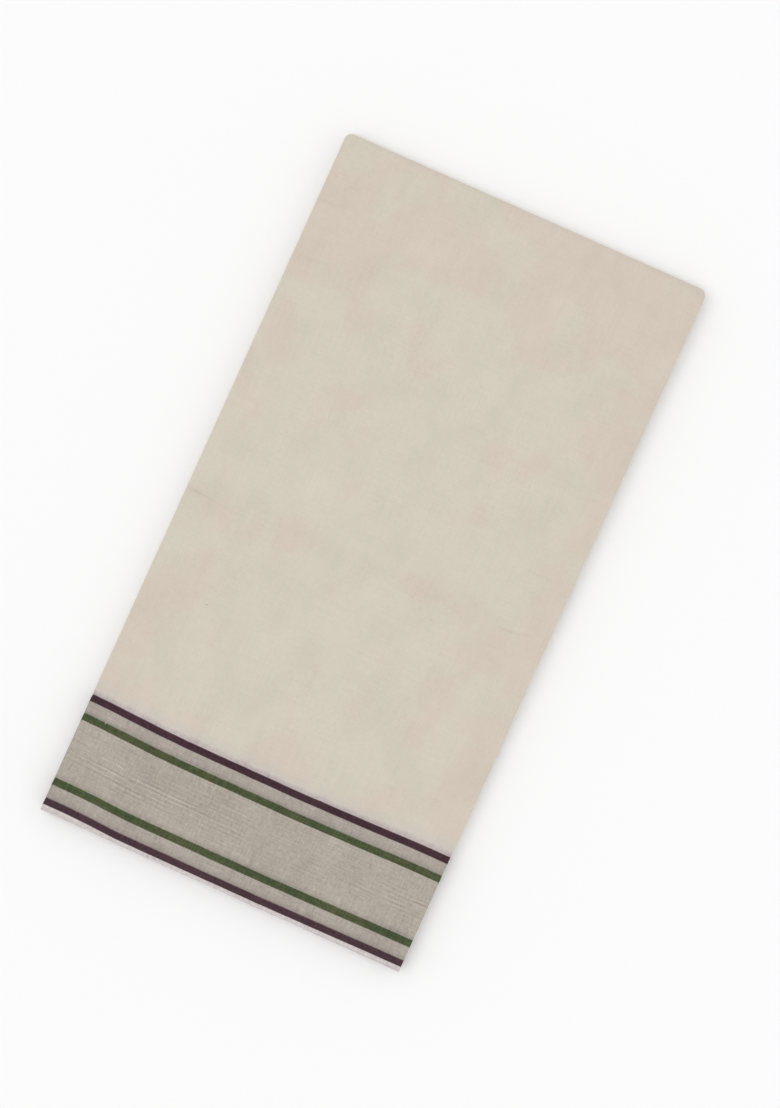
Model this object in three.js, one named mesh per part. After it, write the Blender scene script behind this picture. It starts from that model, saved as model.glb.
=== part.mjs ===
// A handloom cotton sari, folded for the shelf and lying flat. Millimetres, +Z up.
//
// The cloth is one uncut length. It is doubled end to end, pleated to and fro into a long
// stack of panels, and then turned over across the middle of its width, so that the stack
// lies as two leaves joined by one thick round fold. The fold is at +Y and the open end,
// where the bordered selvedges lie together, is at -Y. The origin is the middle of the
// underside.
//
// Every solid is the skin of a box of cells, bent into place. A cell corner is given by
// its share of the way across the panel from the left, its row along the leaf, and its
// depth below the leaf's outer face.
import * as THREE from 'three';
import { mergeVertices } from 'three/addons/utils/BufferGeometryUtils.js';

const { clamp, lerp, smoothstep } = THREE.MathUtils;

// The folded size
const PANEL_WIDTH = 305; // one pleat of the length, a foot
const FOLDED_LENGTH = 579; // from the open end to the crown of the round fold
const PANELS_IN_LEAF = 9;
const PANEL_THICKNESS = 0.845; // two plies and the air in them, beside the round fold
const OPEN_PANEL_THICKNESS = 0.745; // the same at the open end
const CORNER_RADIUS = { left: 5.8, right: 6.6 }; // in plan, at the two ends of the fold

// The walls
const WALL = 1; // each ply that shows
const SEAM_GAP = 0.3;
const LEAF_GAP = 0.4; // between the two leaves
const RIM_DRAW = 0.45; // how far a wall's edge is rounded back at its faces

// The edges of the plies and panels
const SECOND_SETBACK = { left: 0.5, right: 0.3, open: 0 };
const PLEAT_GROOVE = 0.75; // how far the crease between two pleats draws in
const OPEN_GROOVE = 0.6; // the same between two panels at the open end
const LEVELS_IN_PANEL = 2;

// The outer face's soft relief
const DISH = { depth: 0.55, run: 60 }; // its middle is lower, and deepens over this run
const CREASE = { y: -11.5, depth: 0.35, reach: 9 }; // an old fold across the middle

// The cells
const CELLS_ACROSS = 16;
const HIDDEN_CELLS_ACROSS = 8;
const CELLS_IN_WALL = 4;
const TURN_ROWS = 12;

// Worked out from the sizes above
const HALF_WIDTH = PANEL_WIDTH / 2;
const OPEN_Y = -FOLDED_LENGTH / 2;
const FOLD_RADIUS = PANELS_IN_LEAF * PANEL_THICKNESS;
const OPEN_LEAF = PANELS_IN_LEAF * OPEN_PANEL_THICKNESS;
const FOLD_Y = FOLDED_LENGTH / 2 - FOLD_RADIUS; // where the round fold starts
const SECOND_DEPTH = WALL + SEAM_GAP;
const HIDDEN_DEPTH = SECOND_DEPTH + WALL + SEAM_GAP;
const INNERMOST_DEPTH = FOLD_RADIUS - LEAF_GAP / 2;

// How far the top ply's selvedge is drawn back from the straight outline
const SELVEDGE_BOW = [
  { across: 0, back: 2.1 },
  { across: 0.06, back: 2 },
  { across: 0.12, back: 1.3 },
  { across: 0.2, back: 0 },
  { across: 0.6, back: 0 },
  { across: 0.8, back: 0.4 },
  { across: 0.9, back: 0.9 },
  { across: 1, back: 0.9 },
];

// How far each hidden panel stands back from the outline, from the outermost inwards.
// Two panels that one pleat joins stand back alike on its side.
const HIDDEN_PANELS = [
  { left: 0.8, right: 0.6, open: 0.4 },
  { left: 1.4, right: 0.6, open: 0.9 },
  { left: 1.4, right: 1.2, open: 0.6 },
  { left: 0.7, right: 1.2, open: 1.2 },
  { left: 0.7, right: 0.7, open: 0.8 },
  { left: 1.5, right: 0.7, open: 1.4 },
  { left: 1.5, right: 1.4, open: 1 },
  { left: 1, right: 1.4, open: 1.3 },
];

// The first pleat on each side starts this many panels before the outermost hidden one
const PLEAT_START = { left: 1, right: 0 };

function selvedgeBow(across) {
  const next = Math.max(1, SELVEDGE_BOW.findIndex((row) => row.across >= across));
  const [low, high] = [SELVEDGE_BOW[next - 1], SELVEDGE_BOW[next]];
  return lerp(low.back, high.back, (across - low.across) / (high.across - low.across));
}

// How thick a leaf is at y: it swells from the open end towards the round fold
function leafThickness(y) {
  return lerp(OPEN_LEAF, FOLD_RADIUS, smoothstep(y, OPEN_Y, FOLD_Y));
}

// How far the top face lies below a level one
function relief(across, y) {
  const fromMiddle = 2 * across - 1;
  const dished = smoothstep(y, OPEN_Y, OPEN_Y + DISH.run)
    * (1 - smoothstep(y, FOLD_Y - DISH.run, FOLD_Y));
  const creased = Math.exp(-(((y - CREASE.y) / CREASE.reach) ** 2));
  const strongerAtEdges = 0.4 + 0.6 * fromMiddle ** 2;
  return DISH.depth * dished * (1 - fromMiddle ** 2) ** 2
    + CREASE.depth * creased * strongerAtEdges;
}

// The outline's x at a share across, drawn in round the two corners of the fold
function outlineX(across, y, setback) {
  const side = across < 0.5 ? 'left' : 'right';
  const corner = CORNER_RADIUS[side];
  const past = clamp(y - (FOLDED_LENGTH / 2 - corner), 0, corner);
  const drawnIn = corner - Math.sqrt(corner ** 2 - past ** 2);
  return (HALF_WIDTH - drawnIn - setback[side]) * (2 * across - 1);
}

// The height above the parting of the leaves, for a depth below an outer face that is
// itself at height outer. The plies that show keep their thickness; the hidden ones give.
function heightInLeaf(outer, depth) {
  if (depth <= HIDDEN_DEPTH) {
    return outer - depth;
  }
  const share = (depth - HIDDEN_DEPTH) / (INNERMOST_DEPTH - HIDDEN_DEPTH);
  return lerp(outer - HIDDEN_DEPTH, LEAF_GAP / 2, share);
}

// Where a share across, a row and a depth lie in the folded stack
function leafPoint(across, row, depth) {
  if (row.part === 'turn') {
    const radius = FOLD_RADIUS - depth;
    const y = FOLD_Y + radius * Math.sin(row.angle);
    return { y, z: FOLD_RADIUS + radius * Math.cos(row.angle) };
  }
  const thickness = leafThickness(row.y);
  if (row.part === 'under') {
    return { y: row.y, z: thickness - heightInLeaf(thickness, depth) };
  }
  const outer = thickness - relief(across, row.y);
  return { y: row.y, z: thickness + heightInLeaf(outer, depth) };
}

// Places from one y towards another, closer together near the first, which is left out
function easedPlaces(from, to, count) {
  return Array.from({ length: count }, (_, i) => lerp(from, to, ((i + 1) / (count + 1)) ** 1.25));
}

// The rows along the top from the open end, round the fold, and back along the underside
function leafRows() {
  const creasePlaces = [-1, -0.5, 0, 0.5, 1].map((share) => CREASE.y + share * CREASE.reach);
  const topPlaces = [
    OPEN_Y,
    ...easedPlaces(OPEN_Y, creasePlaces[0], 8),
    ...creasePlaces,
    ...easedPlaces(FOLD_Y, creasePlaces.at(-1), 6).reverse(),
  ];
  const underPlaces = [...easedPlaces(FOLD_Y, OPEN_Y, 4), OPEN_Y];
  return {
    top: topPlaces.map((y) => ({ part: 'top', y })),
    turn: Array.from({ length: TURN_ROWS + 1 }, (_, i) => ({
      part: 'turn',
      angle: (Math.PI * i) / TURN_ROWS,
    })),
    under: underPlaces.map((y) => ({ part: 'under', y })),
  };
}

// How far a wall's round edge draws in, at a share of the way through the wall
function rimDraw(share) {
  return RIM_DRAW * (1 - Math.sqrt(1 - (2 * share - 1) ** 2));
}

// The skin of a box of cells, each corner moved to where place(i, j, k) puts it:
// i counts across from the left, j counts rows along the leaf, and k counts inwards
function bentBox(across, rows, deep, place) {
  const skin = new THREE.BoxGeometry(1, 1, 1, across, rows, deep);
  skin.deleteAttribute('normal');
  skin.deleteAttribute('uv');
  const position = skin.getAttribute('position');
  for (let v = 0; v < position.count; v += 1) {
    const i = Math.round((position.getX(v) + 0.5) * across);
    const j = Math.round((position.getY(v) + 0.5) * rows);
    const k = Math.round((0.5 - position.getZ(v)) * deep);
    const { x, y, z } = place(i, j, k);
    position.setXYZ(v, x, y, z);
  }
  const closed = mergeVertices(skin);
  closed.computeVertexNormals();
  return closed;
}

// One ply as a wall with round edges, whose outer face is at a depth in the leaf. A selvedge
// at the open end is drawn back by openSetback(across).
function plyWall({ rows, across, depth, setback, openSetback }) {
  const place = (i, j, k) => {
    const throughWall = k / CELLS_IN_WALL;
    const share = i / across;
    const draw = rimDraw(throughWall);
    const point = leafPoint(share, rows[j], depth + WALL * throughWall);
    if (rows[j].y === OPEN_Y) {
      point.y += openSetback(share) + draw;
    }
    const onSide = i === 0 || i === across ? draw : 0;
    const drawnIn = { left: setback.left + onSide, right: setback.right + onSide };
    return { x: outlineX(share, point.y, drawnIn), ...point };
  };
  return bentBox(across, rows.length - 1, CELLS_IN_WALL, place);
}

// The ply on top, with the round fold that it makes at its far end
function topStretch({ top, turn }) {
  return plyWall({
    rows: [...top, ...turn],
    across: CELLS_ACROSS,
    depth: 0,
    setback: { left: 0, right: 0 },
    openSetback: selvedgeBow,
  });
}

// The ply just inside it, from its selvedge above to its selvedge below
function secondStretch({ top, turn, under }) {
  return plyWall({
    rows: [...top, ...turn, ...under],
    across: CELLS_ACROSS,
    depth: SECOND_DEPTH,
    setback: SECOND_SETBACK,
    openSetback: () => SECOND_SETBACK.open,
  });
}

// The ply that the sari lies on, flat below, from the round fold to its selvedge
function underStretch() {
  return plyWall({
    rows: [{ part: 'under', y: FOLD_Y - SEAM_GAP }, { part: 'under', y: OPEN_Y }],
    across: 1,
    depth: 0,
    setback: { left: 0, right: 0 },
    openSetback: () => 0,
  });
}

// How far the hidden panels stand back at a level, on a side or at the open end
function panelSetback(level, edge) {
  const panel = level / LEVELS_IN_PANEL;
  const last = HIDDEN_PANELS.length - 1;
  const inner = HIDDEN_PANELS[Math.min(last, Math.floor(panel))][edge];
  const outer = HIDDEN_PANELS[Math.max(0, Math.ceil(panel) - 1)][edge];
  if (edge === 'open') {
    return (inner + outer) / 2 + (Number.isInteger(panel) ? OPEN_GROOVE : 0);
  }
  const fromCrown = 1 - ((panel + PLEAT_START[edge]) % 2);
  return Math.max(inner, outer) + PLEAT_GROOVE * (1 - Math.sqrt(1 - fromCrown ** 2));
}

// The pleated panels inside the second ply: one leaf of them, turned over on itself
function hiddenLayers({ top, turn, under }) {
  const rows = [...top, ...turn, ...under];
  const deep = HIDDEN_PANELS.length * LEVELS_IN_PANEL;
  const place = (i, j, k) => {
    const share = i / HIDDEN_CELLS_ACROSS;
    const point = leafPoint(share, rows[j], lerp(HIDDEN_DEPTH, INNERMOST_DEPTH, k / deep));
    if (rows[j].y === OPEN_Y) {
      point.y += panelSetback(k, 'open');
    }
    const setback = { left: panelSetback(k, 'left'), right: panelSetback(k, 'right') };
    return { x: outlineX(share, point.y, setback), ...point };
  };
  return bentBox(HIDDEN_CELLS_ACROSS, rows.length - 1, deep, place);
}

function cotton(color) {
  return new THREE.MeshStandardMaterial({ color, roughness: 0.9, metalness: 0 });
}

const leaf = leafRows();
const stretches = [
  { name: 'top_stretch', geometry: topStretch(leaf), color: 0xd3cabb },
  { name: 'second_stretch', geometry: secondStretch(leaf), color: 0xcdc5c0 },
  { name: 'hidden_layers', geometry: hiddenLayers(leaf), color: 0xc9c0b0 },
  { name: 'under_stretch', geometry: underStretch(), color: 0xd3cabb },
];

const sari = new THREE.Group();
for (const { name, geometry, color } of stretches) {
  const mesh = new THREE.Mesh(geometry, cotton(color));
  mesh.name = name;
  sari.add(mesh);
}

export default sari;
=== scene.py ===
"""A folded handloom cotton sari, seen from straight above.

The cloth is one length. It is doubled end to end, pleated to and fro into panels, and
turned over across the middle of its width, so that it lies as two leaves joined by one
thick round fold. The fold is at +Y, and the bordered selvedges lie together at -Y.

Every ply is a surface on a grid. A point of it has a place across the panel, a distance
from the first selvedge along the leaf and round the fold, and a layer, counted inwards
from the outermost ply. Lengths are in metres, except where a docstring says millimetres.
"""

import logging
import math
from dataclasses import dataclass, field, replace
from enum import Enum
from typing import Any, Sequence

import bpy
import numpy as np
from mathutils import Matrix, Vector

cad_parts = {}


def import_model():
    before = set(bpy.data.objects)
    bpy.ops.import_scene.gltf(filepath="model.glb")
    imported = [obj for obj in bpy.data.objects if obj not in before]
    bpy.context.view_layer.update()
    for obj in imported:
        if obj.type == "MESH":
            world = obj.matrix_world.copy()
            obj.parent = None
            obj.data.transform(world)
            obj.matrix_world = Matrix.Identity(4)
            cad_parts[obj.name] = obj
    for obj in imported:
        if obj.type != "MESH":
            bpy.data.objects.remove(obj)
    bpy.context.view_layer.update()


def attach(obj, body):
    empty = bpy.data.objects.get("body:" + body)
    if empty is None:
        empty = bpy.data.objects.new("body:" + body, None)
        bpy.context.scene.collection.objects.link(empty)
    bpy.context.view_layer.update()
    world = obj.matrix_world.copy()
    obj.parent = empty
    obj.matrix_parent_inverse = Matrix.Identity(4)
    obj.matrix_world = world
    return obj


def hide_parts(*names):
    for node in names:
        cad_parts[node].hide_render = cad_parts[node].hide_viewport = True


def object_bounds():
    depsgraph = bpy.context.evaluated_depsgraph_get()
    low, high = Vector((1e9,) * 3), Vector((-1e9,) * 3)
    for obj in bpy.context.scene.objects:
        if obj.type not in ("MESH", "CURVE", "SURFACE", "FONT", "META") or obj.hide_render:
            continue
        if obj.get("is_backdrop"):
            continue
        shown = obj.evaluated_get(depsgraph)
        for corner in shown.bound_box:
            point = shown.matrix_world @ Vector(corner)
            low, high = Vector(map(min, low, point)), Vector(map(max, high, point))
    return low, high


MM = 0.001
LOG = logging.getLogger("folded_sari")
CLOTH_MAP = "cloth"
# Painted shade in crease troughs and painted light on crease ridges, kept on the outer ply's
# points.
PAINTED_CREASE_SHADING = "painted_crease_shading"
Array = np.ndarray
Tree = bpy.types.NodeTree
Socket = Any
Color = tuple[int, int, int]


class Side(Enum):
    """A long edge of the folded stack, by the sign of its x."""

    LEFT = -1
    RIGHT = 1

    def other(self) -> "Side":
        """Returns the opposite edge."""
        return Side(-self.value)


# Helpers for shapes


def add_object(name: str, data: Any) -> bpy.types.Object:
    """Makes an object of a mesh, lamp or camera and links it to the scene."""
    made = bpy.data.objects.new(name, data)
    bpy.context.scene.collection.objects.link(made)
    return made


def smoothstep(value: Array, low: float, high: float) -> Array:
    """Rises from 0 at low to 1 at high, level at both: 3t squared less 2t cubed.

    Args:
        value: where to read the curve.
        low: where it leaves 0.
        high: where it reaches 1.

    Returns:
        The curve's height at each value.
    """
    t = np.clip((value - low) / (high - low), 0, 1)
    return t * t * (3 - 2 * t)


def eased(start: float, end: float, count: int, crowd: float = 0.85) -> Array:
    """Places from start to end, crowded towards both: u less a share of sin(2 pi u).

    Args:
        start: the first place.
        end: the last place.
        count: how many places.
        crowd: from 0, evenly spaced, to just under 1, most crowded.

    Returns:
        The places in order.
    """
    u = np.linspace(0, 1, count)
    return start + (end - start) * (u - crowd * np.sin(2 * math.pi * u) / (2 * math.pi))


@dataclass(frozen=True)
class Ripple:
    """A smooth uneven wave over one or more places: a sum of sines with seeded phases."""

    seed: int
    height: float
    shortest: float
    longest: float
    waves: int = 6

    def over(self, *places: Array) -> Array:
        """Reads the wave.

        Args:
            places: one array for each direction in which it varies, alike in shape.

        Returns:
            The height of the wave at each place.
        """
        draw = np.random.default_rng(self.seed)
        total = np.zeros(np.broadcast(*places).shape)
        for _ in range(self.waves):
            heading = draw.normal(size=len(places))
            heading = heading / np.linalg.norm(heading)
            pitch = draw.uniform(self.shortest, self.longest)
            phase = draw.uniform(0, 2 * math.pi)
            travel = sum(part * place for part, place in zip(heading, places))
            total = total + np.sin(2 * math.pi * travel / pitch + phase)
        return self.height * total / math.sqrt(self.waves)


@dataclass(frozen=True)
class Crease:
    """A soft line that storage pressed in, in millimetres. A depth over 0 sinks below the face."""

    x: float
    y: float
    length: float
    width: float
    depth: float
    heading: float = 0.0
    inner_longer: float = 16
    inner_wider: float = 4

    def dent(self, x: Array, y: Array, inner: Array) -> Array:
        """Reads how deep it is: a bell curve across it, faded out towards both its ends.

        Args:
            x: places across the panel.
            y: places along the leaf.
            inner: true where a ply lies below. It gives way in a wider trough, and no ridge.

        Returns:
            The depth below the face.
        """
        right, up = x - self.x * MM, y - self.y * MM
        along = right * math.cos(self.heading) + up * math.sin(self.heading)
        across = up * math.cos(self.heading) - right * math.sin(self.heading)
        length = np.where(inner, self.length + self.inner_longer, self.length) * MM
        width = np.where(inner, self.width + self.inner_wider, self.width) * MM
        depth = np.where(inner, max(self.depth, 0), self.depth) * MM
        return depth * np.exp(-((across / width) ** 2) - (2 * along / length) ** 4)


# The folded cloth


@dataclass(frozen=True)
class Sizes:
    """The sizes of the folded stack."""

    half_width: float
    open_y: float
    end_y: float
    radius: float
    open_leaf: float = 6.705 * MM
    ply: float = 0.22 * MM
    parting: float = 0.2 * MM
    plies: int = 18
    left_corner: float = 5.8 * MM
    right_corner: float = 6.6 * MM
    dish: float = 0.45 * MM
    dish_run: float = 60 * MM

    @classmethod
    def from_frame(cls) -> "Sizes":
        """Returns the sizes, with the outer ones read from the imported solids."""
        low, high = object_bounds()
        return cls(half_width=high[0], open_y=low[1], end_y=high[1], radius=high[2] / 2)

    @property
    def fold_y(self) -> float:
        """Where the round fold starts."""
        return self.end_y - self.radius

    @property
    def leaf_run(self) -> float:
        """The straight run of a leaf, from its selvedge to the round fold."""
        return self.fold_y - self.open_y

    @property
    def turn_run(self) -> float:
        """The length of the half circle round the fold, over the outer face."""
        return math.pi * self.radius

    @property
    def cloth_width(self) -> float:
        """The way from selvedge to selvedge over the outer face."""
        return 2 * self.leaf_run + self.turn_run

    @property
    def pitch(self) -> float:
        """The distance from ply to ply beside the round fold."""
        return (self.radius - self.ply - self.parting / 2) / (self.plies - 1)


@dataclass(frozen=True)
class Places:
    """Points of the cloth: across the panel, along the way from the first selvedge, in a layer.

    Layers are plies counted inwards, with fractions between them on a pleat's turn.
    """

    x: Array
    way: Array
    layer: Array


@dataclass(frozen=True)
class FoldedForm:
    """The place of every ply in the folded stack, with its creases and unevenness."""

    sizes: Sizes
    creases: tuple[Crease, ...] = (
        Crease(-142, -14.6, 25, 1.2, 0.34, -0.08),
        Crease(-123, -17.2, 9, 0.9, 0.14, -0.04),
        Crease(-121, -18.8, 26, 0.8, -0.14, -0.24),
        Crease(126, -9.3, 23, 1, -0.14, 0.15),
        Crease(127, -12.4, 26, 1, 0.26, 0.18),
        Crease(111, 6.2, 24, 1.4, 0.16, -0.03),
        Crease(127, 35.3, 22, 1.6, 0.18, 0.01),
        Crease(-137, 231.6, 32, 1.6, 0.18, 0.13),
        Crease(-133, 186.2, 30, 1.6, 0.15, 0.14),
        Crease(0, -11.5, 340, 9, 0.07, 0.02),
        Crease(-96, 262, 46, 3, 0.12, 1.32),
        Crease(58, 266, 38, 3.5, 0.14, 1.75),
        Crease(112, 259, 54, 4, -0.12, 1.48),
        Crease(-40, 120, 120, 9, 0.12, 0.5),
        Crease(70, -130, 130, 10, 0.12, 2.5),
    )
    under_creases: tuple[Crease, ...] = (
        Crease(0, -12.5, 340, 8, 0.07, -0.01),
        Crease(139, -9.6, 27, 1.6, 0.28, 0.1),
        Crease(112, -14.8, 18, 1.6, 0.14, 0.22),
        Crease(-134, -15.5, 31, 1.8, 0.22, -0.05),
        Crease(-106, -6.5, 20, 1.6, 0.12, 0.12),
        Crease(-88, 262, 44, 4, 0.12, 1.7),
        Crease(47, 258, 52, 4.5, 0.14, 1.45),
        Crease(-60, -150, 120, 10, 0.12, 0.7),
        Crease(50, 110, 110, 9, 0.12, 2.3),
    )
    settle_run: float = 12 * MM
    swell: Ripple = Ripple(seed=3, height=0.09 * MM, shortest=60 * MM, longest=190 * MM)
    layer_drift: Ripple = Ripple(seed=5, height=0.6, shortest=70 * MM, longest=220 * MM)
    pucker: Ripple = Ripple(seed=8, height=0.06 * MM, shortest=22 * MM, longest=90 * MM)
    skew: float = 1.2 * MM

    def thickness(self, y: Array) -> Array:
        """A leaf's thickness: it swells smoothly from the open end to the round fold."""
        share = smoothstep(y, self.sizes.open_y, self.sizes.fold_y)
        return self.sizes.open_leaf + (self.sizes.radius - self.sizes.open_leaf) * share

    def dents(self, x: Array, y: Array, on_top: Array, inner: Array) -> Array:
        """Sums the dents of all the creases on the face that each point is on.

        Args:
            x: places across the panel.
            y: places along the leaf.
            on_top: true on the top leaf.
            inner: true where a ply lies below the outermost one.

        Returns:
            How deep the face is pressed.
        """
        above, below = (
            sum(crease.dent(x, y, inner) for crease in creases)
            for creases in (self.creases, self.under_creases)
        )
        return np.where(on_top, above, below)

    def relief(self, x: Array, y: Array) -> Array:
        """How far the top face lies below a level one, apart from creases: a dish and a swell.

        Args:
            x: places across the panel.
            y: places along the leaf.

        Returns:
            The drop at each place. It fades out towards the round fold.
        """
        s = self.sizes
        from_middle = np.clip(x / s.half_width, -1, 1)
        dished = smoothstep(y, s.open_y, s.open_y + s.dish_run)
        near_fold = 1 - smoothstep(y, s.fold_y - s.dish_run, s.fold_y)
        dish = s.dish * dished * near_fold * (1 - from_middle**2) ** 2
        swell = (1 + self.swell.over(x, y) / (2 * self.swell.height)) * self.swell.height
        return dish + swell * self.settled(y)

    def settled(self, y: Array) -> Array:
        """1 along a leaf, falling to 0 where the round fold starts."""
        return 1 - smoothstep(y, self.sizes.fold_y - self.settle_run, self.sizes.fold_y)

    def corner_draw(self, x: Array, y: Array) -> Array:
        """How far the outline is drawn in beside a corner: the rest of a quarter circle.

        Args:
            x: places across the panel, for the corner's radius on that side.
            y: how far along the leaf each place reaches.

        Returns:
            The distance from the straight edge.
        """
        s = self.sizes
        corner = np.where(x < 0, s.left_corner, s.right_corner)
        past = np.clip(y - (s.end_y - corner), 0, corner)
        return corner - np.sqrt(np.maximum(corner**2 - past**2, 0))

    def place(self, at: Places, lead: Array) -> Array:
        """Puts points of the cloth in the stack.

        A ply's middle lies at a height above the parting of the leaves. Along the top the
        height points up, round the fold it turns through half a circle about the parting,
        and along the underside it points down.

        Args:
            at: the points, before the fold's corners draw them in.
            lead: the outermost ply of each point's pleat, whose corner the others follow.

        Returns:
            The points, with x, y and z along the last axis.
        """
        s, x = self.sizes, at.x
        angle = np.clip((at.way - s.leaf_run) / s.radius, 0, math.pi)
        back = np.maximum(at.way - s.leaf_run - s.turn_run, 0)
        line_y = s.open_y + np.minimum(at.way, s.leaf_run) - back
        leaf = self.thickness(line_y)
        on_top = at.way < s.leaf_run
        pressed = self.dents(x, line_y, on_top, at.layer > 0.5) * self.settled(line_y)
        outer = leaf - pressed - np.where(on_top, self.relief(x, line_y), 0)
        outer = outer - np.abs(self.pucker.over(x)) * np.sin(angle) ** 2
        drift = np.sin(math.pi * at.layer / (s.plies - 1)) * self.layer_drift.over(x, at.way)
        pitch = (outer - s.ply - s.parting / 2) / (s.plies - 1)
        height = outer - s.ply / 2 - pitch * (at.layer + drift)
        y = line_y + height * np.sin(angle)
        z = leaf + height * np.cos(angle)
        lead_y = line_y + (outer - s.ply / 2 - pitch * lead) * np.sin(angle)
        drawn = x * (1 - self.corner_draw(x, lead_y) / s.half_width)
        longer = self.skew * x / s.half_width * (line_y - s.open_y) / s.leaf_run
        return np.stack([drawn, y + longer, z], axis=-1)


@dataclass(frozen=True)
class Selvedges:
    """How far each ply's selvedge stands back from the straight open end.

    A row of bow is a place across the panel, and the top ply's setback there at its selvedge
    and at the border's field side, in millimetres. So are the panels and the stagger.
    """

    bow: tuple[tuple[float, float, float], ...] = (
        (-152.5, 2, 3.4),
        (-134, 1.9, 2.8),
        (-116, 1.4, 1.9),
        (-91, 0.1, 0.8),
        (-61, 0, 0.1),
        (30, 0, 0),
        (61, 0.35, 0.6),
        (92, 0.6, 1.1),
        (122, 0.9, 1.9),
        (152.5, 1.2, 2.1),
    )
    panels: tuple[float, ...] = (0.0, 0.6, 1.2, 0.5, 1.5, 0.8, 1.7, 0.9, 1.5)
    stagger: float = 0.3
    under_turned: int = 3
    wander: Ripple = Ripple(seed=11, height=0.24 * MM, shortest=60 * MM, longest=180 * MM)
    wander_from: float = 1.5
    wander_step: float = 40 * MM
    fade: float = 280 * MM

    def top_bow(self, at: Places) -> Array:
        """The top ply's bow, carried evenly from its selvedge's value to the field's."""
        places, at_selvedge, at_field = np.array(self.bow).T * MM
        low, high = np.interp(at.x, places, at_selvedge), np.interp(at.x, places, at_field)
        return low + (high - low) * np.clip(at.way / BORDER_WIDTH, 0, 1)

    def inner(self, at: Places, turned: int) -> Array:
        """An inner ply's setback: its panel's, staggered ply by ply, with a small wander.

        Args:
            at: points of the cloth.
            turned: how many panels on the table is read, so that the leaves differ.

        Returns:
            The setback, never under 0.
        """
        rows = np.array(self.panels)
        panel = np.concatenate([rows[:1], np.roll(rows[1:], turned)])
        each = np.repeat(panel, 2) + self.stagger * np.tile([0, 1], len(panel))
        back = np.interp(at.layer, np.arange(len(each)), each) * MM
        wander = self.wander.over(at.x, at.layer * self.wander_step)
        return np.maximum(back + wander * (at.layer > self.wander_from), 0)

    def setback(self, at: Places, width: float) -> Array:
        """How far points move away from the selvedge that they are near.

        Args:
            at: points of the cloth.
            width: the cloth's whole width.

        Returns:
            The shift along the way, over 0 near the top selvedge and under 0 near the other.
        """
        inward = np.clip(at.layer, 0, 1)
        top = self.top_bow(at) * (1 - inward) + self.inner(at, 0) * inward
        under = self.inner(at, self.under_turned) * inward
        near_top = 1 - smoothstep(at.way, self.fade / 3, self.fade)
        near_under = 1 - smoothstep(width - at.way, self.fade / 3, self.fade)
        return top * near_top - under * near_under


@dataclass(frozen=True)
class Section:
    """A path through the pleats: places across, layers, and lengths along the cloth."""

    x: Array
    layer: Array
    length: Array


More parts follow.
